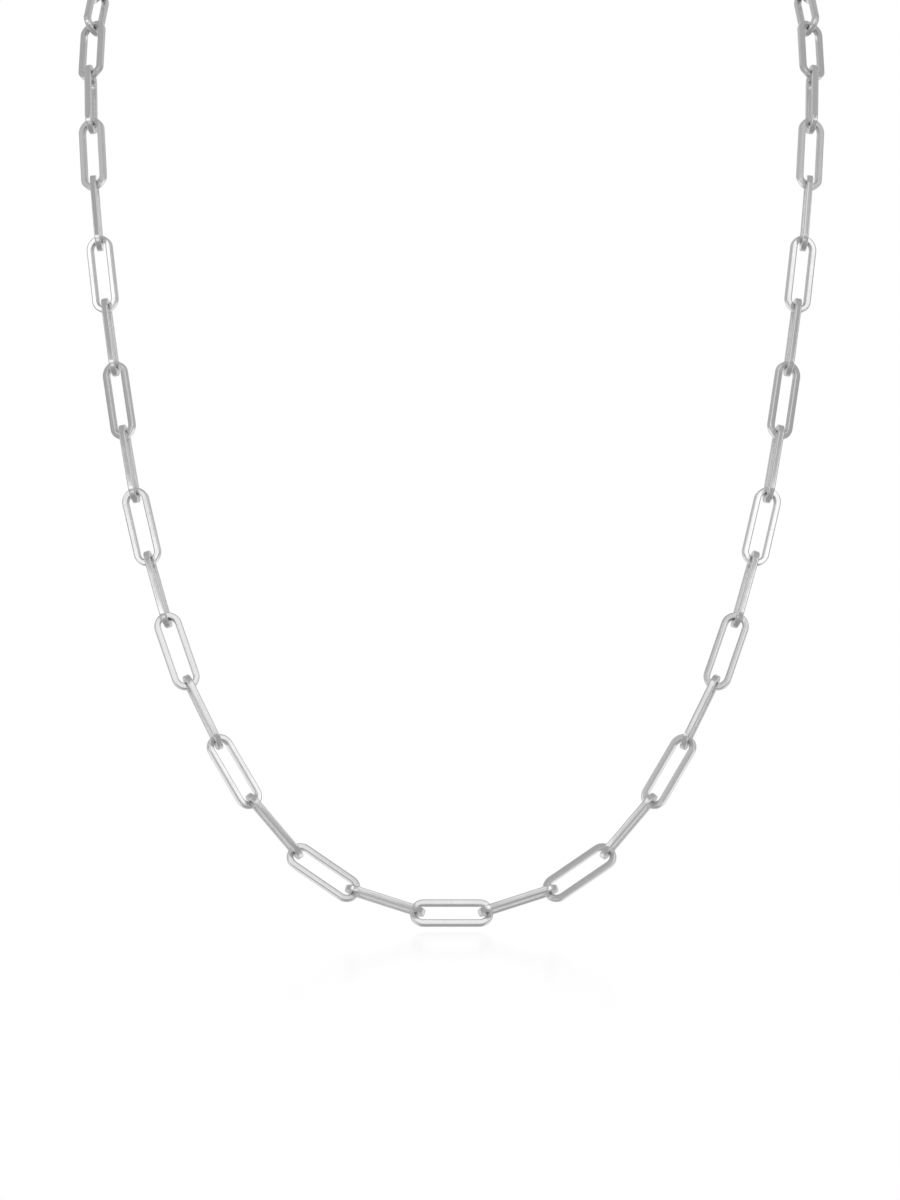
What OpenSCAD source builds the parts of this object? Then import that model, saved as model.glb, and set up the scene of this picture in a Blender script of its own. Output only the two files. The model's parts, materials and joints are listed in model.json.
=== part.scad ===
// Paperclip chain necklace: long oval links of square wire, closed at the back of the neck by a plain
// clasp. It has the form that it keeps when worn. The clasp lies on the nape at the origin, the lowest
// link hangs in front of it and below, and X runs across the neck, Y to the back and Z up.

/* [Link] */
// Outside length of one link
link_length = 10.7; // [9.6:0.1:13]
// Outside width of one link
link_width = 3.6; // [3.4:0.1:4.6]
// Side of the square wire that a link is bent from
wire = 0.8; // [0.6:0.05:0.9]
// Bevel along each edge of that wire
wire_bevel = 0.15; // [0.06:0.01:0.2]
// Play where one piece bears on the next
joint_play = 0.18; // [0.1:0.01:0.2]

/* [Chain] */
// Links in front, on each side of the lowest one
front_links = 14; // [10:2:16]
// Links round the back of the neck, on each side
back_links = 10; // [6:2:12]

/* [Rings and clasp] */
// Round wire of a jump ring
ring_wire = 0.8; // [0.6:0.05:1]
// Free room across a jump ring, beside the link and the eye that it holds
ring_room = 1.75; // [1.2:0.05:2.4]
// Distance between the bores of the clasp's two eyes
eye_distance = 12; // [10:0.5:16]
// Free room in the bore of an eye, beside the jump ring's wire
eye_room = 1.1; // [0.8:0.05:1.6]
// Metal round the bore of an eye
eye_rim = 0.8; // [0.6:0.05:1.1]
// Thickness of an eye
eye_height = 1; // [0.8:0.1:1.4]
// Metal between the bore of an eye and the end of the case
eye_web = 0.45; // [0.3:0.05:0.7]
// Width of the clasp's case
case_width = 4.8; // [4:0.1:6]
// Thickness of the clasp's case
case_height = 2.2; // [1.6:0.1:3]
// Radius of the case's four corners
case_corner = 1.2; // [0.6:0.1:1.6]

/* [Hidden] */
$fn = 48;
silver = [0.83, 0.84, 0.86];

// Links on each side of the lowest one, and the pieces that are nodes
half_links = front_links + back_links;
function two_digits(n) = str(n < 10 ? "0" : "", n);
function link_name(place) = str("link_", two_digits(place + front_links + 1));

// Half of the chain's way, from the lowest link round to the clasp: out, back and up
half_route = [
    [0, -87.5, -133], [9, -87.5, -131.5], [17, -86.5, -127.5], [23.5, -86, -121.5],
    [28.5, -85, -114], [32.5, -83.5, -106.5], [36, -81.5, -98.5], [40.8, -76.5, -82],
    [43.8, -72, -66], [46.3, -67.5, -49], [47.8, -62.5, -35], [48.6, -56, -23],
    [48.7, -48.5, -14], [47.7, -39, -7.5], [44.2, -28, -3], [37, -16.5, -1],
    [26, -7, 0], [13, -1.3, 0], [6.5, 0, 0], [0, 0, 0]
];

// How the links lie along that way. Columns: share of the links from the lowest one, heading of a
// face-on link's flat side (0 forward, 90 to the side, 180 back), its lean upward, and how far an
// edge-on link is turned from standing square to it, all in degrees.
lie = [
    [0, 0, 28, 13],
    [0.08, 0, 30, 14],
    [0.17, -22, 30, 15],
    [0.25, -7, 24, 10],
    [0.29, 4, 19, 9],
    [0.33, 18, 14, -8],
    [0.42, 30, 4, -18],
    [0.5, 23, 5, -20],
    [0.58, 24, 6, -20],
    [0.67, 33, 28, -9],
    [0.75, 72, 42, -4],
    [0.83, 112, 34, 0],
    [0.92, 142, 17, 0],
    [1, 166, 0, 0]
];
quarter_turn = 90;
function lie_at(share, column) = lookup(share, [for (row = lie) [row[0], row[column]]]);

// The bends of a link and what bears in them. Two links that aren't quite square to each other, by up
// to most_twist degrees, touch with the corners of their wire first.
straight = link_length - link_width;
bend_inside = link_width / 2 - wire;
flat_half = wire / 2 - wire_bevel;
most_twist = 24;
corner_rise = flat_half ^ 2 / bend_inside * (1 + sin(most_twist)) / (1 - sin(most_twist));
bearing_gap = joint_play + corner_rise;
bend_step = 2 * bend_inside - bearing_gap;

// A jump ring and the eye of the clasp that it holds
ring_inside = wire + eye_rim + ring_room;
eye_bore = ring_wire + eye_room;
ring_span = bend_inside + ring_inside + eye_bore / 2 - 2 * bearing_gap;
case_length = eye_distance - eye_bore - 2 * eye_web;

// In front the chain turns within the flat of its face-on links and round the nape within that of the
// edge-on ones, so its joints lie where those links bend, and halfway between on the side of the neck
neck_side = front_links - 1;
nape_side = front_links + 2;
function bend_share(joint) =
    joint < neck_side || joint == half_links ? 0 : joint < nape_side ? 0.5 : 1;

// Distance between the joints at the two ends of a link, and from its first joint to its middle.
// An odd place is an edge-on link.
function is_edge_on(place) = place % 2 == 1;
function end_reach(place, joint) =
    bend_step * (is_edge_on(place) ? 1 - bend_share(joint) : bend_share(joint));
function link_span(place) = straight + end_reach(place, place - 1) + end_reach(place, place);
function middle_reach(place) = straight / 2 + end_reach(place, place - 1);
function span(place) = place > half_links ? ring_span : link_span(place);

// A smooth curve through the points of the way, which goes on past both ends as a mirror image
curve_steps = 16;
function across(p) = [-p.x, p.y, p.z];
function curve_point(a, b, c, d, t) =
    (2 * b + (c - a) * t + (2 * a - 5 * b + 4 * c - d) * t ^ 2 + (3 * b - a - 3 * c + d) * t ^ 3) / 2;
last = len(half_route) - 1;
full_route = concat([across(half_route[1])], half_route, [across(half_route[last - 1])],
    [across(half_route[last - 2])]);
curve = [
    for (i = [1:last + 1])
        for (step = [0:curve_steps - 1])
            curve_point(full_route[i - 1], full_route[i], full_route[i + 1], full_route[i + 2],
                step / curve_steps)
];

// The joints follow each other along the curve, each at its own span from the one before
function cut_at_x(line, x, i = 0) =
    line[i + 1].x >= x
        ? [line[i] + (line[i + 1] - line[i]) * (x - line[i].x) / (line[i + 1].x - line[i].x), i]
        : cut_at_x(line, x, i + 1);
function crossing(a, b, from, reach) =
    let (d = b - a, f = a - from, p = d * d, q = d * f, r = f * f - reach ^ 2)
    a + d * (sqrt(max(q ^ 2 - p * r, 0)) - q) / p;
function next_joint(line, from, reach, i) =
    i + 2 >= len(line) || norm(line[i + 1] - from) >= reach
        ? [crossing(line[i], line[i + 1], from, reach), i]
        : next_joint(line, from, reach, i + 1);
function joints_from(line, here, i, place) =
    place > half_links + 1
        ? [here]
        : let (next = next_joint(line, here, span(place), i))
          concat([here], joints_from(line, next[0], next[1], place + 1));
function joints_on(line) =
    let (start = cut_at_x(line, middle_reach(0)))
    joints_from(line, start[0], start[1], 1);

// The way is drawn larger or smaller by the little that brings the last joint to the clasp's eye
fitting_rounds = 6;
half_length = half_links * (link_span(1) + link_span(2)) / 2 + ring_span;
function miss(way_scale) = joints_on(curve * way_scale)[half_links + 1].x - eye_distance / 2;
function fitted(way_scale, rounds) =
    rounds <= 0 ? way_scale : fitted(way_scale * (1 - miss(way_scale) / half_length), rounds - 1);
joints = [for (p = joints_on(curve * fitted(1, fitting_rounds))) p + [0, case_height / 2, 0]];

// A piece's own length runs along the chain, and its own flat side faces as the table above says
function unit(v) = v / norm(v);
function outward(share) =
    let (heading = lie_at(share, 1), lean = lie_at(share, 2))
    [sin(heading) * cos(lean), -cos(heading) * cos(lean), sin(lean)];
function squared_to(v, along) = unit(v - along * (v * along));
function turned(v, along, angle) = v * cos(angle) + cross(along, v) * sin(angle);

module set_along(middle, along, flat) {
    side = cross(flat, along);
    multmatrix([
        [along.x, side.x, flat.x, middle.x],
        [along.y, side.y, flat.y, middle.y],
        [along.z, side.z, flat.z, middle.z],
        [0, 0, 0, 1]
    ])
        children();
}

// On the side of +X, a piece at a place counted from the lowest link
module at_place(place) {
    share = min(place / half_links, 1);
    first = joints[place - 1];
    along = unit(joints[place] - first);
    face = squared_to(outward(share), along);
    flat = is_edge_on(place) ? turned(face, along, quarter_turn + lie_at(share, 3)) : face;
    reach = place > half_links ? bend_inside + ring_inside / 2 - bearing_gap : middle_reach(place);
    set_along(first + along * reach, along, flat)
        children();
}

module on_side(place) {
    mirror([place < 0 ? 1 : 0, 0, 0])
        at_place(abs(place))
            children();
}

module wire_section() {
    h = wire / 2;
    f = flat_half;
    polygon([[f, h], [h, f], [h, -f], [f, -h], [-f, -h], [-h, -f], [-h, f], [-f, h]]);
}

// One link, lying flat, with its length along X
module link() {
    bend_middle = (link_width - wire) / 2;
    for (end = [-1, 1]) {
        translate([-straight / 2, end * bend_middle, 0])
            rotate([90, 0, 90])
                linear_extrude(straight)
                    wire_section();
        translate([end * straight / 2, 0, 0])
            rotate([0, 0, -90 * end])
                rotate_extrude(angle = 180)
                    translate([bend_middle, 0])
                        wire_section();
    }
}

module link_in_place(place) {
    color(silver)
        if (place == 0)
            set_along([0, joints[0].y, joints[0].z], [1, 0, 0], squared_to(outward(0), [1, 0, 0]))
                link();
        else
            on_side(place)
                link();
}

// The links past the front ones, loose in each other, as one stretch of chain
module back_chain(side) {
    color(silver)
        for (place = [front_links + 1:half_links])
            on_side(side * place)
                link();
}

module jump_ring(side) {
    color(silver)
        on_side(side * (half_links + 1))
            rotate_extrude()
                translate([(ring_inside + ring_wire) / 2, 0])
                    circle(d = ring_wire);
}

// A flat case with rounded corners and an eye at each end, on the nape
module clasp() {
    eye_width = eye_bore + 2 * eye_rim;
    corner_x = case_length / 2 - case_corner;
    corner_y = case_width / 2 - case_corner;
    color(silver)
        translate([0, case_height / 2, 0])
            rotate([90, 0, 0])
                difference() {
                    union() {
                        cube([case_length, case_width - 2 * case_corner, case_height], center = true);
                        cube([case_length - 2 * case_corner, case_width, case_height], center = true);
                        for (x = [-corner_x, corner_x], y = [-corner_y, corner_y])
                            translate([x, y, 0])
                                cylinder(r = case_corner, h = case_height, center = true);
                        for (x = [-eye_distance / 2, eye_distance / 2])
                            translate([x, 0, 0])
                                cylinder(d = eye_width, h = eye_height, center = true);
                    }
                    for (x = [-eye_distance / 2, eye_distance / 2])
                        translate([x, 0, 0])
                            cylinder(d = eye_bore, h = case_height, center = true);
                }
}

for (place = [-front_links:front_links])
    link_in_place(place);
back_chain(-1);  // back_chain_left
back_chain(1);  // back_chain_right
jump_ring(-1);  // jump_ring_left
jump_ring(1);  // jump_ring_right
clasp();
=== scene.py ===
import json
import math

import bpy
import numpy as np
from mathutils import Matrix, Vector

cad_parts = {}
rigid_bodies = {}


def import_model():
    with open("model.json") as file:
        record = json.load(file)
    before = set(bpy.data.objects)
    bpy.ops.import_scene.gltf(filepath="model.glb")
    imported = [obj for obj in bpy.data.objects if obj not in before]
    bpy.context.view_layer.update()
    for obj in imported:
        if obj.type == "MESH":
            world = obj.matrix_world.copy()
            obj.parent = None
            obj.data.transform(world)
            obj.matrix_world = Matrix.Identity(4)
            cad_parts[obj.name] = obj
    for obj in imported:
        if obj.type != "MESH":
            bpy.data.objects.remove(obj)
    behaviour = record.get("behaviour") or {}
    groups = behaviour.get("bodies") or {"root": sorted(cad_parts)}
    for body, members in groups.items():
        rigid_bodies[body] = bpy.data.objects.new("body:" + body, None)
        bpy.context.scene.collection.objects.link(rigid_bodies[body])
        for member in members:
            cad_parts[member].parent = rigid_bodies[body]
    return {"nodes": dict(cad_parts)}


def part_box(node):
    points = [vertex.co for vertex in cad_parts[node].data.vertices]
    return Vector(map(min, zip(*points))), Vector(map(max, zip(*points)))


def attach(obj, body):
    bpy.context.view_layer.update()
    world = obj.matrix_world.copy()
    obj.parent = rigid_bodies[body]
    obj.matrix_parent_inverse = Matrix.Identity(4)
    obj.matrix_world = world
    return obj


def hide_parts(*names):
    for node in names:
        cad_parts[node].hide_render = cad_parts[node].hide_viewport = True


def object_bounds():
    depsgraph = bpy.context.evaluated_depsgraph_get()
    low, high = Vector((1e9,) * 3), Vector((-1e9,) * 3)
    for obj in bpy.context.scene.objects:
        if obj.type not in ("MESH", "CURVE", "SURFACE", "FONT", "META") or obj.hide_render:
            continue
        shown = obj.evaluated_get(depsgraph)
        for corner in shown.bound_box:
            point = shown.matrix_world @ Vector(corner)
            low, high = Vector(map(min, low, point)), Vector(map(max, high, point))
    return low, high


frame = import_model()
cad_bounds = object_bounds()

# Front links: long ovals bent from square sterling silver wire and soldered shut in the middle of
# one side. Tumbling has rounded the wire's edges, crowned its faces and left them mirror-bright,
# with fine lines along the wire and a few hairline scratches. Each hangs loose in the next.

wire = 0.0008
link_length = 0.0107
link_width = 0.0036
bend_middle = (link_width - wire) / 2
straight = link_length - link_width
half_straight = straight / 2
section_segments = 9
section_squareness = 0.82
section_rounding = 0.499
bend_steps = 24
solder_reach = 0.00012
solder_mark = 0.5
merge_share = 0.002
crisp_angle = math.radians(40)
mm = 1000
front_count = 29
bright_silver = (0.93, 0.93, 0.935, 1.0)
smudged_silver = (0.84, 0.83, 0.81, 1.0)
solder_colour = (0.82, 0.81, 0.78, 1.0)
# Painted shade: a dark colour laid inside each link's end bends, where the next link hangs
# through, and the dark of a ring's cut; how dark, how fast it rises into the bend, how narrow
painted_shade_and_cut_colour = (0.12, 0.115, 0.11, 1.0)
painted_shade_depth = 0.75
painted_shade_rise = 1.4
painted_shade_narrowing = 2.5
link_polish = 0.17

# How much each mark roughens the silver, how high it stands in micrometres, and how much it tints
smudge_dulling = 0.05
scratch_dulling = 0.07
recess_dulling = 0.16
solder_dulling = 0.04
wave_height = 9.0
line_height = 0.5
scratch_height = -0.35
smudge_tint = 0.35

# How far the marks are moved from one link to the next, in mm along the wire and round it
marks_shift = (37.0, 5.3)


def add_node(tree, kind, place, **settings):
    node = tree.nodes.new(kind)
    node.location = place
    for name, value in settings.items():
        setattr(node, name, value)
    return node


def set_inputs(node, **values):
    for name, value in values.items():
        node.inputs[name.replace("_", " ")].default_value = value
    return node


def add_shares(tree, total, parts, row_height):
    """Adds each part, times its share, to a running total and returns the total's socket."""
    for column, (source, share) in enumerate(parts):
        more = add_node(tree, "ShaderNodeMath", (180 * column, row_height),
                        operation="MULTIPLY_ADD")
        more.inputs[1].default_value = share
        tree.links.new(source, more.inputs[0])
        tree.links.new(total, more.inputs[2])
        total = more.outputs["Value"]
    return total


def blend_colours(tree, colour, parts, row_height):
    """Mixes other colours over one, each by its own mask, and returns the last colour's socket."""
    for column, (mask, other) in enumerate(parts):
        over = add_node(tree, "ShaderNodeMix", (250 * column, row_height), data_type="RGBA")
        over.inputs["B"].default_value = other
        tree.links.new(mask, over.inputs["Factor"])
        tree.links.new(colour, over.inputs["A"])
        colour = over.outputs["Result"]
    return colour


def make_polish_group():
    """Colour, roughness and height of tumbled silver, from a place and a stretch of wire in mm."""
    tree = bpy.data.node_groups.new("tumbled_polish", "ShaderNodeTree")
    for name, kind in (("Place", "NodeSocketVector"), ("Along Wire", "NodeSocketVector"),
                       ("Recess", "NodeSocketFloat"), ("Solder", "NodeSocketFloat"),
                       ("Base Roughness", "NodeSocketFloat"), ("Metal", "NodeSocketColor")):
        tree.interface.new_socket(name, in_out="INPUT", socket_type=kind)
    for name, kind in (("Color", "NodeSocketColor"), ("Roughness", "NodeSocketFloat"),
                       ("Height", "NodeSocketFloat")):
        tree.interface.new_socket(name, in_out="OUTPUT", socket_type=kind)
    link = tree.links.new
    inside = add_node(tree, "NodeGroupInput", (-1400, 0))
    outside = add_node(tree, "NodeGroupOutput", (900, 0))

    # Slow waves that the tumbling leaves in a face, and smudges a few millimetres across
    waves = set_inputs(add_node(tree, "ShaderNodeTexNoise", (-900, 500)), Scale=0.8, Detail=2.0)
    link(inside.outputs["Place"], waves.inputs["Vector"])
    smudge = set_inputs(add_node(tree, "ShaderNodeTexNoise", (-900, 250)), Scale=0.35, Detail=4.0)
    link(inside.outputs["Place"], smudge.inputs["Vector"])

    # Draw lines: long along the wire, narrow across it
    stretch = set_inputs(add_node(tree, "ShaderNodeMapping", (-1150, 0)), Scale=(0.35, 14.0, 1.0))
    link(inside.outputs["Along Wire"], stretch.inputs["Vector"])
    lines = set_inputs(add_node(tree, "ShaderNodeTexNoise", (-900, 0)), Scale=1.0, Detail=5.0)
    link(stretch.outputs["Vector"], lines.inputs["Vector"])

    # Two sets of hairline scratches that cross each other
    hairlines = []
    for row, turn in enumerate(((0.4, 0.9, 0.3), (1.3, 0.2, 1.9))):
        height = -300 - 250 * row
        lay = add_node(tree, "ShaderNodeMapping", (-1150, height))
        set_inputs(lay, Rotation=turn, Scale=(0.9, 22.0, 22.0))
        link(inside.outputs["Place"], lay.inputs["Vector"])
        streak = set_inputs(add_node(tree, "ShaderNodeTexNoise", (-900, height)),
                            Scale=1.0, Detail=2.0)
        link(lay.outputs["Vector"], streak.inputs["Vector"])
        cut = set_inputs(add_node(tree, "ShaderNodeMapRange", (-650, height)),
                         From_Min=0.63, From_Max=0.7)
        link(streak.outputs["Fac"], cut.inputs["Value"])
        hairlines.append(cut.outputs["Result"])
    scratches = add_node(tree, "ShaderNodeMath", (-400, -400), operation="MAXIMUM")
    for socket, hairline in zip(scratches.inputs, hairlines):
        link(hairline, socket)
    scratches = scratches.outputs["Value"]

    # Rougher in smudges, scratches, recesses and at the solder
    dulled = set_inputs(add_node(tree, "ShaderNodeMapRange", (-400, 250)),
                        From_Min=0.4, From_Max=0.7, To_Max=1.0)
    link(smudge.outputs["Fac"], dulled.inputs["Value"])
    dulled = dulled.outputs["Result"]
    roughness = add_shares(tree, inside.outputs["Base Roughness"],
                           ((dulled, smudge_dulling), (scratches, scratch_dulling),
                            (inside.outputs["Recess"], recess_dulling),
                            (inside.outputs["Solder"], solder_dulling)), 250)
    link(roughness, outside.inputs["Roughness"])

    # Height in micrometres
    flat = add_node(tree, "ShaderNodeMath", (-150, -50), operation="MULTIPLY")
    flat.inputs[1].default_value = wave_height
    link(waves.outputs["Fac"], flat.inputs[0])
    height = add_shares(tree, flat.outputs["Value"],
                        ((lines.outputs["Fac"], line_height), (scratches, scratch_height)), -50)
    link(height, outside.inputs["Height"])

    # A touch warmer in smudges and at the solder; dark as painted shade inside each link's bends,
    # where the next link hangs, and dark at a ring's cut
    faint = add_node(tree, "ShaderNodeMath", (-150, 450), operation="MULTIPLY")
    faint.inputs[1].default_value = smudge_tint
    link(dulled, faint.inputs[0])
    colour = blend_colours(tree, inside.outputs["Metal"],
                           ((faint.outputs["Value"], smudged_silver),
                            (inside.outputs["Solder"], solder_colour),
                            (inside.outputs["Recess"], painted_shade_and_cut_colour)), 600)
    link(colour, outside.inputs["Color"])
    return tree


polish_group = make_polish_group()


def make_silver(name, polish):
    """Polished silver whose marks follow the wire by its UV map, in mm."""
    material = bpy.data.materials.new(name)
    material.use_nodes = True
    tree = material.node_tree
    tree.nodes.clear()
    link = tree.links.new
    place = add_node(tree, "ShaderNodeTexCoord", (-900, 200))
    in_mm = set_inputs(add_node(tree, "ShaderNodeMapping", (-700, 200)),
                       Scale=(mm, mm, mm))
    along = add_node(tree, "ShaderNodeUVMap", (-700, -100), uv_map="wire")
    # The mask of painted shade inside the links' bends, and of a ring's dark cut
    recess = add_node(tree, "ShaderNodeAttribute", (-700, -250), attribute_name="recess")
    solder = add_node(tree, "ShaderNodeAttribute", (-700, -430), attribute_name="solder")
    group = add_node(tree, "ShaderNodeGroup", (-400, 100), node_tree=polish_group)
    set_inputs(group, Base_Roughness=polish, Metal=bright_silver)
    bump = set_inputs(add_node(tree, "ShaderNodeBump", (-150, -100)), Strength=1.0, Distance=1e-6)
    surface = set_inputs(add_node(tree, "ShaderNodeBsdfPrincipled", (100, 100)), Metallic=1.0)
    out = add_node(tree, "ShaderNodeOutputMaterial", (400, 100))
    link(place.outputs["Object"], in_mm.inputs["Vector"])
    link(in_mm.outputs["Vector"], group.inputs["Place"])
    link(along.outputs["UV"], group.inputs["Along Wire"])
    link(recess.outputs["Fac"], group.inputs["Recess"])
    link(solder.outputs["Fac"], group.inputs["Solder"])
    link(group.outputs["Color"], surface.inputs["Base Color"])
    link(group.outputs["Roughness"], surface.inputs["Roughness"])
    link(group.outputs["Height"], bump.inputs["Height"])
    link(bump.outputs["Normal"], surface.inputs["Normal"])
    link(surface.outputs["BSDF"], out.inputs["Surface"])
    return material


def all_off():
    bpy.ops.object.select_all(action="DESELECT")


def only(piece):
    all_off()
    piece.select_set(True)
    bpy.context.view_layer.objects.active = piece


def draw_wire_section(name):
    """The outline of the square wire at the middle of one side, with its edges rounded."""
    all_off()
    bpy.ops.mesh.primitive_plane_add(size=wire, location=(0, bend_middle, 0),
                                     rotation=(0, math.pi / 2, 0))
    piece = bpy.context.object
    piece.name = name
    bpy.ops.object.transform_apply(location=True, rotation=True, scale=True)
    bpy.ops.object.mode_set(mode="EDIT")
    bpy.ops.mesh.select_all(action="SELECT")
    bpy.ops.mesh.bevel(offset=wire * section_rounding, segments=section_segments,
                       profile=section_squareness, affect="VERTICES")
    bpy.ops.mesh.select_all(action="SELECT")
    bpy.ops.mesh.delete(type="ONLY_FACE")
    bpy.ops.mesh.select_all(action="SELECT")
    return piece


def bend_link(name):
    """The wire drawn along one side, round an end, back and round the other end to its start."""
    piece = draw_wire_section(name)
    half_rest = (half_straight - solder_reach) / 2
    to_bend = (solder_reach, half_rest, half_rest)
    back = (-straight / 4,) * 4
    for reaches, end in ((to_bend, half_straight), (back, -half_straight)):
        for reach in reaches:
            bpy.ops.mesh.extrude_region_move(TRANSFORM_OT_translate={"value": (reach, 0, 0)})
        bpy.ops.mesh.spin(steps=bend_steps, angle=math.pi, center=(end, 0, 0), axis=(0, 0, 1))
    for reach in reversed(to_bend):
        bpy.ops.mesh.extrude_region_move(TRANSFORM_OT_translate={"value": (reach, 0, 0)})
    bpy.ops.mesh.select_all(action="SELECT")
    bpy.ops.mesh.remove_doubles(threshold=wire * merge_share)
    bpy.ops.mesh.normals_make_consistent(inside=False)
    bpy.ops.object.mode_set(mode="OBJECT")
    only(piece)
    bpy.ops.object.shade_smooth_by_angle(angle=crisp_angle)
    return piece


def place_on_wire(x, y, z):
    """Distance along the bent wire from the solder, and the turn round it."""
    if x > half_straight:
        turn = math.atan2(x - half_straight, y)
        along, out = half_straight + turn * bend_middle, math.hypot(x - half_straight, y)
    elif x < -half_straight:
        turn = math.atan2(-half_straight - x, -y)
        along = half_straight * 3 + (math.pi + turn) * bend_middle
        out = math.hypot(-half_straight - x, y)
    elif y > 0:
        along, out = x, y
    else:
        along, out = half_straight * 2 + math.pi * bend_middle - x, -y
    return along, math.atan2(z, out - bend_middle)


def mark_wire(piece):
    """A UV map in mm that follows the wire, and where the painted shade and the solder lie."""
    mesh = piece.data
    loop_length = 2 * straight + 2 * math.pi * bend_middle
    uv = mesh.uv_layers.new(name="wire")
    recess = mesh.attributes.new("recess", "FLOAT", "POINT")
    solder = mesh.attributes.new("solder", "FLOAT", "POINT")
    places = [place_on_wire(*vertex.co) for vertex in mesh.vertices]
    for index, vertex in enumerate(mesh.vertices):
        along, turn = places[index]
        # Painted shade: darker towards the inside of each end bend, where the next link hangs
        # through
        inner = max(0.0, -math.cos(turn))
        beyond = max(0.0, abs(vertex.co.x) - half_straight) / bend_middle
        recess.data[index].value = (painted_shade_depth * min(1.0, beyond * painted_shade_rise)
                                    * inner ** painted_shade_narrowing)
        solder.data[index].value = solder_mark if abs(along) < solder_reach / 2 else 0.0
    for polygon in mesh.polygons:
        corners = [list(places[mesh.loops[i].vertex_index]) for i in polygon.loop_indices]
        for column, period in ((0, loop_length), (1, 2 * math.pi)):
            highest = max(corner[column] for corner in corners)
            for corner in corners:
                if highest - corner[column] > period / 2:
                    corner[column] += period
        for i, (along, turn) in zip(polygon.loop_indices, corners):
            uv.data[i].uv = (along * mm, turn * wire / 2 * mm)


def lie_of_link(mesh):
    """Where a solid link lies: its middle, and its long, wide and thin directions."""
    points = np.unique(np.array([vertex.co for vertex in mesh.vertices], float).round(8), axis=0)
    middle = points.mean(axis=0)
    _, directions = np.linalg.eigh(np.cov((points - middle).T))
    wide, long = (Vector(directions[:, column]) for column in (1, 2))
    if long.z < 0:
        long.negate()
    if wide.dot(Vector((middle[0], -1.0, 0.0))) > 0:
        wide.negate()
    place = Matrix((long, wide, long.cross(wide))).transposed().to_4x4()
    place.translation = Vector(middle)
    return place


def hang_link(name, solid_mesh, number):
    """A copy of the link, laid where its solid lies, with its own stretch of wire marks."""
    piece = master_link.copy()
    piece.name = name
    piece.data = master_link.data.copy()
    piece.data.name = name
    bpy.context.scene.collection.objects.link(piece)
    piece.data.transform(lie_of_link(solid_mesh))
    piece.data.update()
    uv = piece.data.uv_layers["wire"]
    values = np.zeros(len(uv.data) * 2, np.float32)
    uv.data.foreach_get("uv", values)
    for axis, shift in enumerate(marks_shift):
        values[axis::2] += number * shift
    uv.data.foreach_set("uv", values)
    return piece


def dress(piece, node):
    """Puts a piece on the body in place of its solid, which it hides."""
    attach(piece, "root")
    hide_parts(node)


master_link = bend_link("master_link")
mark_wire(master_link)
master_link.data.materials.append(make_silver("link_silver", link_polish))

for number in range(1, front_count + 1):
    node = f"link_{number:02d}"
    dress(hang_link(f"front_link_{number:02d}", frame["nodes"][node].data, number), node)

# Back chain: ten more of the same silver links on each side, loose in each other, that carry the
# chain round the neck to the clasp.

back_count = 10
same_point = 1e-7


def loose_solids(node):
    """The solids of a node, each as an object of its own."""
    copy = frame["nodes"][node].copy()
    copy.data = copy.data.copy()
    copy.parent = None
    bpy.context.scene.collection.objects.link(copy)
    before = set(bpy.data.objects) - {copy}
    only(copy)
    bpy.ops.object.mode_set(mode="EDIT")
    bpy.ops.mesh.select_all(action="SELECT")
    bpy.ops.mesh.remove_doubles(threshold=same_point)
    bpy.ops.mesh.separate(type="LOOSE")
    bpy.ops.object.mode_set(mode="OBJECT")
    return [part for part in bpy.data.objects if part not in before]


for side_number, side in enumerate(("left", "right")):
    links = []
    for number, solid in enumerate(loose_solids(f"back_chain_{side}")):
        wire_number = front_count + back_count * side_number + number + 1
        links.append(hang_link(f"back_link_{side}_{number}", solid.data, wire_number))
        bpy.data.objects.remove(solid)
    only(links[0])
    for piece in links:
        piece.select_set(True)
    bpy.ops.object.join()
    piece = bpy.context.object
    piece.name = f"back_links_{side}"
    piece.data.name = piece.name
    dress(piece, f"back_chain_{side}")

bpy.data.objects.remove(master_link)

# Jump rings: round silver wire wound on a rod, sawn through and pushed shut, one at each end of
# the chain, so the fine cut still shows across the wire.

ring_wire = 0.0008
ring_inside = 0.00335
ring_middle = (ring_inside + ring_wire) / 2
ring_sides = 20
ring_steps = 60
cut_angle = math.radians(2.0)
cut_bevel = ring_wire * 0.05
cut_reach = cut_angle * 0.55
cut_residue = 0.5
ring_polish = 0.13


def wind_ring(name):
    """A ring in the plane of X and Y, with its cut on the side of +X."""
    all_off()
    bpy.ops.mesh.primitive_circle_add(vertices=ring_sides, radius=ring_wire / 2,
                                      fill_type="NOTHING", location=(ring_middle, 0, 0),
                                      rotation=(math.pi / 2, 0, 0))
    piece = bpy.context.object
    piece.name = name
    bpy.ops.object.transform_apply(location=True, rotation=True, scale=True)
    piece.data.transform(Matrix.Rotation(cut_angle / 2, 4, "Z"))
    bpy.ops.object.mode_set(mode="EDIT")
    bpy.ops.mesh.select_all(action="SELECT")
    bpy.ops.mesh.spin(steps=ring_steps, angle=cut_angle - 2 * math.pi, center=(0, 0, 0),
                      axis=(0, 0, 1))
    bpy.ops.mesh.select_all(action="SELECT")
    bpy.ops.mesh.fill_holes(sides=0)
    bpy.ops.object.mode_set(mode="OBJECT")
    for polygon in piece.data.polygons:
        polygon.select = len(polygon.vertices) == ring_sides
    bpy.ops.object.mode_set(mode="EDIT")
    bpy.ops.mesh.bevel(offset=cut_bevel, segments=2, affect="EDGES")
    bpy.ops.mesh.select_all(action="SELECT")
    bpy.ops.mesh.normals_make_consistent(inside=False)
    bpy.ops.object.mode_set(mode="OBJECT")
    only(piece)
    bpy.ops.object.shade_smooth_by_angle(angle=crisp_angle)
    return piece


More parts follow.
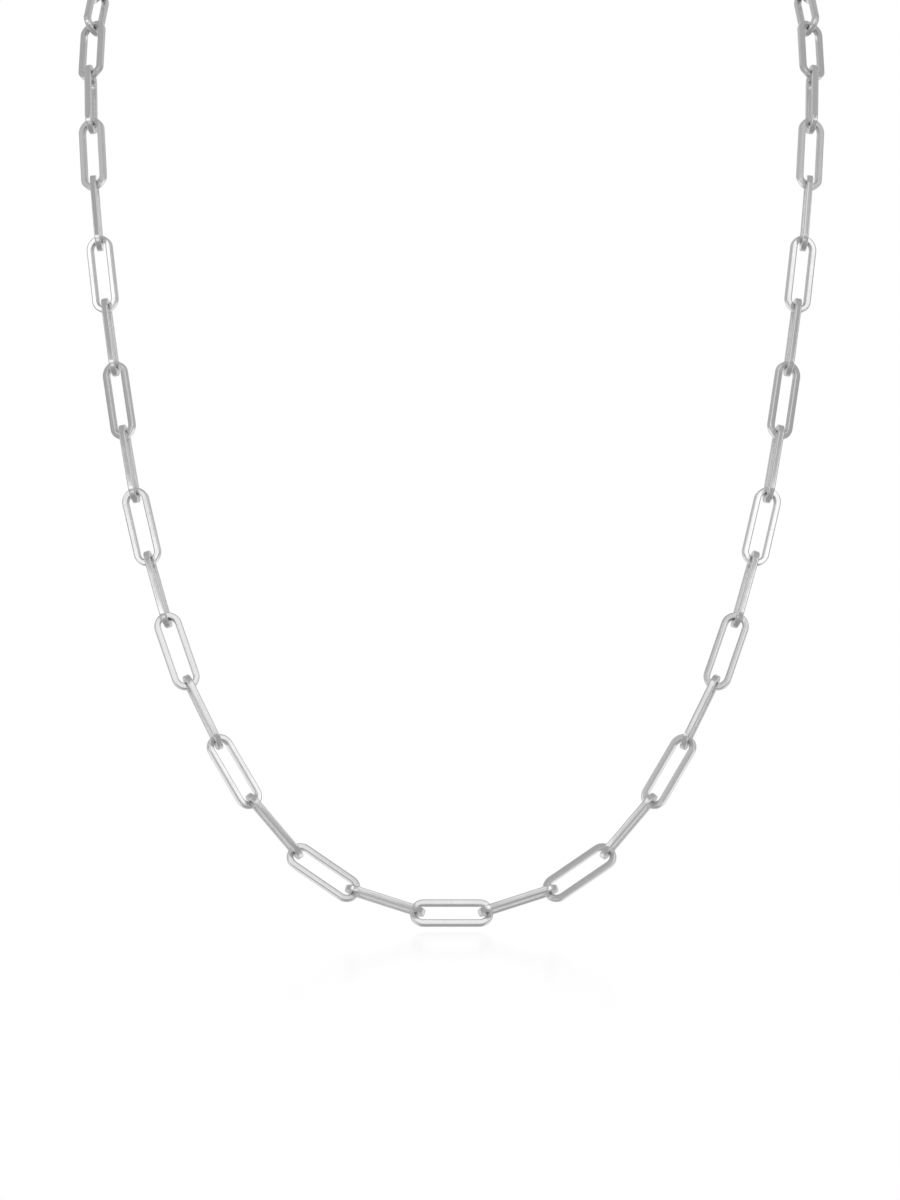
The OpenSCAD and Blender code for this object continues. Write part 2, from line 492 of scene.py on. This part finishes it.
def mark_ring(piece):
    """A UV map in mm that follows the wound wire, and the cut's ends as recesses."""
    mesh = piece.data
    uv = mesh.uv_layers.new(name="wire")
    recess = mesh.attributes.new("recess", "FLOAT", "POINT")
    mesh.attributes.new("solder", "FLOAT", "POINT")
    for index, vertex in enumerate(mesh.vertices):
        at_cut = abs(math.atan2(vertex.co.y, vertex.co.x)) < cut_reach
        recess.data[index].value = cut_residue if at_cut else 0.0
    for polygon in mesh.polygons:
        corners = []
        for i in polygon.loop_indices:
            x, y, z = mesh.vertices[mesh.loops[i].vertex_index].co
            corners.append((math.atan2(y, x) % (2 * math.pi),
                            math.atan2(z, math.hypot(x, y) - ring_middle)))
        highest = max(turn for _, turn in corners)
        for i, (along, turn) in zip(polygon.loop_indices, corners):
            if highest - turn > math.pi:
                turn += 2 * math.pi
            uv.data[i].uv = (along * ring_middle * mm, turn * ring_wire / 2 * mm)


ring_silver = make_silver("ring_silver", ring_polish)
for side in ("left", "right"):
    node = f"jump_ring_{side}"
    piece = wind_ring(f"wound_ring_{side}")
    mark_ring(piece)
    piece.data.materials.append(ring_silver)
    points = np.array([vertex.co for vertex in frame["nodes"][node].data.vertices], float)
    _, directions = np.linalg.eigh(np.cov(points.T))
    axis = Vector(directions[:, 0])
    cut_side = axis.cross(Vector((1.0, 0.0, 0.0))).normalized()
    place = Matrix((cut_side, axis.cross(cut_side), axis)).transposed().to_4x4()
    low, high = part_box(node)
    place.translation = (low + high) / 2
    piece.data.transform(place)
    piece.data.update()
    dress(piece, node)

# Clasp: a plain flat silver case with rounded corners and softened edges, and an eye soldered to
# each end that holds a jump ring. It lies flat on the nape.

case_width = 0.0048
case_height = 0.0022
case_corner = 0.0012
case_corner_segments = 10
case_edge = 0.0003
case_edge_segments = 5
eye_distance = 0.012
eye_bore = 0.0019
eye_rim = 0.0008
eye_height = 0.001
eye_web = 0.00045
eye_edge = 0.00015
eye_edge_segments = 4
eye_steps = 48
eye_merge = 1e-6
clasp_crisp_angle = math.radians(35)
case_length = eye_distance - eye_bore - 2 * eye_web
clasp_polish = 0.13


def bevel_edges(piece, wanted, offset, segments):
    """Rounds the edges whose two ends fit what is wanted."""
    mesh = piece.data
    bpy.ops.object.mode_set(mode="OBJECT")
    for elements in (mesh.vertices, mesh.edges, mesh.polygons):
        for element in elements:
            element.select = False
    for edge in mesh.edges:
        edge.select = wanted(*(mesh.vertices[i].co for i in edge.vertices))
    bpy.ops.object.mode_set(mode="EDIT")
    bpy.ops.mesh.bevel(offset=offset, segments=segments, affect="EDGES")


all_off()
bpy.ops.mesh.primitive_cube_add(size=1.0)
clasp = bpy.context.object
clasp.name = "clasp_case"
clasp.scale = (case_length, case_width, case_height)
bpy.ops.object.transform_apply(location=False, rotation=False, scale=True)
bpy.ops.object.mode_set(mode="EDIT")
bpy.ops.mesh.select_mode(type="EDGE")
bevel_edges(clasp, lambda a, b: abs(a.z - b.z) > case_height / 2, case_corner,
            case_corner_segments)
bevel_edges(clasp, lambda a, b: abs(a.z - b.z) < same_point, case_edge, case_edge_segments)
bpy.ops.object.mode_set(mode="OBJECT")

for end in (-1, 1):
    all_off()
    rim_x = end * eye_distance / 2 + (eye_bore + eye_rim) / 2
    bpy.ops.mesh.primitive_plane_add(size=1.0, rotation=(math.pi / 2, 0, 0),
                                     location=(rim_x, 0, 0))
    eye = bpy.context.object
    eye.name = "clasp_eye"
    eye.scale = (eye_rim, eye_height, 1.0)
    bpy.ops.object.transform_apply(location=True, rotation=True, scale=True)
    bpy.ops.object.mode_set(mode="EDIT")
    bpy.ops.mesh.select_all(action="SELECT")
    bpy.ops.mesh.bevel(offset=eye_edge, segments=eye_edge_segments, affect="VERTICES")
    bpy.ops.mesh.select_all(action="SELECT")
    bpy.ops.mesh.delete(type="ONLY_FACE")
    bpy.ops.mesh.select_all(action="SELECT")
    bpy.ops.mesh.spin(steps=eye_steps, angle=2 * math.pi, center=(end * eye_distance / 2, 0, 0),
                      axis=(0, 0, 1))
    bpy.ops.mesh.select_all(action="SELECT")
    bpy.ops.mesh.remove_doubles(threshold=eye_merge)
    bpy.ops.mesh.normals_make_consistent(inside=False)
    bpy.ops.object.mode_set(mode="OBJECT")
    only(clasp)
    union = clasp.modifiers.new("soldered_eye", "BOOLEAN")
    union.operation = "UNION"
    union.solver = "EXACT"
    union.object = eye
    bpy.ops.object.modifier_apply(modifier=union.name)
    bpy.data.objects.remove(eye)

flat_on_nape = Matrix.Rotation(math.pi / 2, 4, "X")
clasp.data.transform(Matrix.Translation((0, case_height / 2, 0)) @ flat_on_nape)
only(clasp)
bpy.ops.object.shade_smooth_by_angle(angle=clasp_crisp_angle)
clasp_uv = clasp.data.uv_layers.new(name="wire")
for loop in clasp.data.loops:
    x, _, z = clasp.data.vertices[loop.vertex_index].co
    clasp_uv.data[loop.index].uv = (x * mm, z * mm)
for name in ("recess", "solder"):
    clasp.data.attributes.new(name, "FLOAT", "POINT")
clasp.data.materials.clear()
clasp.data.materials.append(make_silver("clasp_silver", clasp_polish))
dress(clasp, "clasp")

# Floor: a plain white sheet that isn't part of the necklace, just under the lowest link. It glows
# evenly, and a faint shine under that link fades outwards.

floor_size = 12.0
floor_drop = 0.0004
shine_roughness = 0.1
shine_share = 0.09
shine_near = 0.06
shine_far = 0.17

low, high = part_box("link_15")
lowest_middle = (low + high) / 2
all_off()
bpy.ops.mesh.primitive_plane_add(size=floor_size, location=(0, 0, low.z - floor_drop))
floor = bpy.context.object
floor.name = "pale_floor"
floor.visible_glossy = False
floor_white = bpy.data.materials.new("floor_white")
floor_white.use_nodes = True
tree = floor_white.node_tree
tree.nodes.clear()
glow = set_inputs(add_node(tree, "ShaderNodeEmission", (-300, 100)),
                  Color=(1.0, 1.0, 1.0, 1.0), Strength=1.0)
shine = set_inputs(add_node(tree, "ShaderNodeBsdfGlossy", (-300, -100)),
                   Color=(1.0, 1.0, 1.0, 1.0), Roughness=shine_roughness)
where = add_node(tree, "ShaderNodeTexCoord", (-1100, -300))
from_link = set_inputs(add_node(tree, "ShaderNodeVectorMath", (-900, -300), operation="DISTANCE"))
from_link.inputs[1].default_value = (0.0, lowest_middle.y, 0.0)
share = set_inputs(add_node(tree, "ShaderNodeMapRange", (-700, -300),
                            interpolation_type="SMOOTHSTEP"),
                   From_Min=shine_near, From_Max=shine_far, To_Min=shine_share, To_Max=0.0)
blend = add_node(tree, "ShaderNodeMixShader", (0, 0))
out = add_node(tree, "ShaderNodeOutputMaterial", (300, 0))
tree.links.new(where.outputs["Object"], from_link.inputs[0])
tree.links.new(from_link.outputs["Value"], share.inputs["Value"])
tree.links.new(share.outputs["Result"], blend.inputs["Fac"])
tree.links.new(glow.outputs["Emission"], blend.inputs[1])
tree.links.new(shine.outputs["BSDF"], blend.inputs[2])
tree.links.new(blend.outputs["Shader"], out.inputs["Surface"])
floor.data.materials.append(floor_white)

# Soft boxes: a large one high in front, and two lower ones, near and far, on each side. Columns:
# azimuth from the front towards +X, height over the level, width and height, all in degrees as the
# middle of the necklace sees them, and radiance.

box_distance = 0.4
box_edge = 0.5
feather = 0.18
soft_boxes = {
    "box_front": (6, 35, 30, 48, 0.54),
    "box_near_left": (-30, 11, 47, 22, 0.75),
    "box_near_right": (40, 13, 28, 18, 0.78),
    "box_far_left": (-58, 24, 19, 14, 0.85),
    "box_far_right": (53, 28, 25, 20, 0.68),
}


def from_front(azimuth, level):
    """The direction that a turn from the front and a height over the level point in."""
    azimuth, level = math.radians(azimuth), math.radians(level)
    return Vector((math.sin(azimuth) * math.cos(level), -math.cos(azimuth) * math.cos(level),
                   math.sin(level)))


def feather_edges(lamp):
    """Lets a soft box fade towards its four edges."""
    lamp.data.use_nodes = True
    tree = lamp.data.node_tree
    glow = next(node for node in tree.nodes if node.type == "EMISSION")
    across = add_node(tree, "ShaderNodeNewGeometry", (-1300, 0))
    sides = add_node(tree, "ShaderNodeSeparateXYZ", (-1100, 0))
    tree.links.new(across.outputs["Parametric"], sides.inputs["Vector"])
    both = add_node(tree, "ShaderNodeMath", (-200, 0), operation="MULTIPLY")
    for row, side in enumerate(("X", "Y")):
        from_middle = add_node(tree, "ShaderNodeMath", (-900, -200 * row), operation="SUBTRACT")
        from_middle.inputs[1].default_value = box_edge
        away = add_node(tree, "ShaderNodeMath", (-700, -200 * row), operation="ABSOLUTE")
        fade = set_inputs(add_node(tree, "ShaderNodeMapRange", (-500, -200 * row),
                                   interpolation_type="SMOOTHSTEP"),
                          From_Min=box_edge - feather, From_Max=box_edge, To_Min=1.0, To_Max=0.0)
        tree.links.new(sides.outputs[side], from_middle.inputs[0])
        tree.links.new(from_middle.outputs["Value"], away.inputs[0])
        tree.links.new(away.outputs["Value"], fade.inputs["Value"])
        tree.links.new(fade.outputs["Result"], both.inputs[row])
    tree.links.new(both.outputs["Value"], glow.inputs["Strength"])


object_middle = (cad_bounds[0] + cad_bounds[1]) / 2
for name, (azimuth, level, width, height, radiance) in soft_boxes.items():
    place = object_middle + from_front(azimuth, level) * box_distance
    size = [2 * box_distance * math.tan(math.radians(angle / 2)) for angle in (width, height)]
    all_off()
    bpy.ops.object.light_add(type="AREA", location=place)
    lamp = bpy.context.object
    lamp.name = name
    lamp.data.shape = "RECTANGLE"
    lamp.data.size, lamp.data.size_y = size
    lamp.data.energy = radiance * math.pi * size[0] * size[1]
    lamp.rotation_mode = "QUATERNION"
    lamp.rotation_quaternion = (object_middle - place).to_track_quat("-Z", "Y")
    lamp.visible_camera = False
    feather_edges(lamp)

# Room: soft grey walls with lighter patches behind, on each side and low in front, and a darker
# floor, past which the camera sees white. Columns: azimuth and height over the level of a patch's
# middle, how far it fades and how far it is even, all in degrees, and its brightness.

wall_grey = 0.37
room_patches = (
    (180, -20, 85, 40, 0.55),
    (-118, -38, 37, 20, 0.85),
    (118, -38, 37, 20, 0.85),
    (0, -90, 50, 25, 0.3),
    (-7, -19, 17, 6, 0.85),
    (-78, 44, 26, 10, 0.52),
    (78, 44, 26, 10, 0.52),
    (0, 90, 45, 20, 0.4),
    (180, 7, 14, 9, 1.05),
)

world = bpy.data.worlds.new("grey_room")
bpy.context.scene.world = world
world.use_nodes = True
tree = world.node_tree
tree.nodes.clear()
toward = add_node(tree, "ShaderNodeTexCoord", (-1500, 0))
room = set_inputs(add_node(tree, "ShaderNodeBackground", (600, -100)),
                  Color=(1.0, 1.0, 1.0, 1.0))
brightness = add_node(tree, "ShaderNodeValue", (-700, 200))
brightness.outputs["Value"].default_value = wall_grey
brightness = brightness.outputs["Value"]
for row, (azimuth, level, fading, even, patch) in enumerate(room_patches):
    nearness = add_node(tree, "ShaderNodeVectorMath", (-1100, -250 * row),
                        operation="DOT_PRODUCT")
    nearness.inputs[1].default_value = from_front(azimuth, level)
    mask = set_inputs(add_node(tree, "ShaderNodeMapRange", (-900, -250 * row),
                               interpolation_type="SMOOTHSTEP"),
                      From_Min=math.cos(math.radians(fading)),
                      From_Max=math.cos(math.radians(even)))
    over = add_node(tree, "ShaderNodeMix", (-500 + 200 * row, 0), data_type="FLOAT")
    set_inputs(over, B=patch)
    tree.links.new(toward.outputs["Generated"], nearness.inputs[0])
    tree.links.new(nearness.outputs["Value"], mask.inputs["Value"])
    tree.links.new(mask.outputs["Result"], over.inputs["Factor"])
    tree.links.new(brightness, over.inputs["A"])
    brightness = over.outputs["Result"]
tree.links.new(brightness, room.inputs["Strength"])
sheet = set_inputs(add_node(tree, "ShaderNodeBackground", (600, -250)),
                   Color=(1.0, 1.0, 1.0, 1.0), Strength=1.0)
seen = add_node(tree, "ShaderNodeLightPath", (600, 300))
choose = add_node(tree, "ShaderNodeMixShader", (850, 0))
out = add_node(tree, "ShaderNodeOutputWorld", (1050, 0))
tree.links.new(seen.outputs["Is Camera Ray"], choose.inputs["Fac"])
tree.links.new(room.outputs["Background"], choose.inputs[1])
tree.links.new(sheet.outputs["Background"], choose.inputs[2])
tree.links.new(choose.outputs["Shader"], out.inputs["Surface"])
bpy.context.scene.view_settings.view_transform = "Standard"

# Camera: a long lens at the photograph's viewing angle, level, in front of the lowest link and a
# little above it.

camera_distance = 0.7
camera_rise = 0.0401
camera_x = -0.0002
frame_height = 0.1537
sensor = 36.0
nearest_seen = 0.01
farthest_seen = 50.0
bpy.ops.object.camera_add(
    location=(camera_x, lowest_middle.y - camera_distance, lowest_middle.z + camera_rise),
    rotation=(math.pi / 2, 0, 0))
camera = bpy.context.object
camera.name = "photo_camera"
camera.data.sensor_width = sensor
camera.data.lens = sensor * camera_distance / frame_height
camera.data.clip_start = nearest_seen
camera.data.clip_end = farthest_seen
bpy.context.scene.camera = camera

bpy.context.view_layer.update()
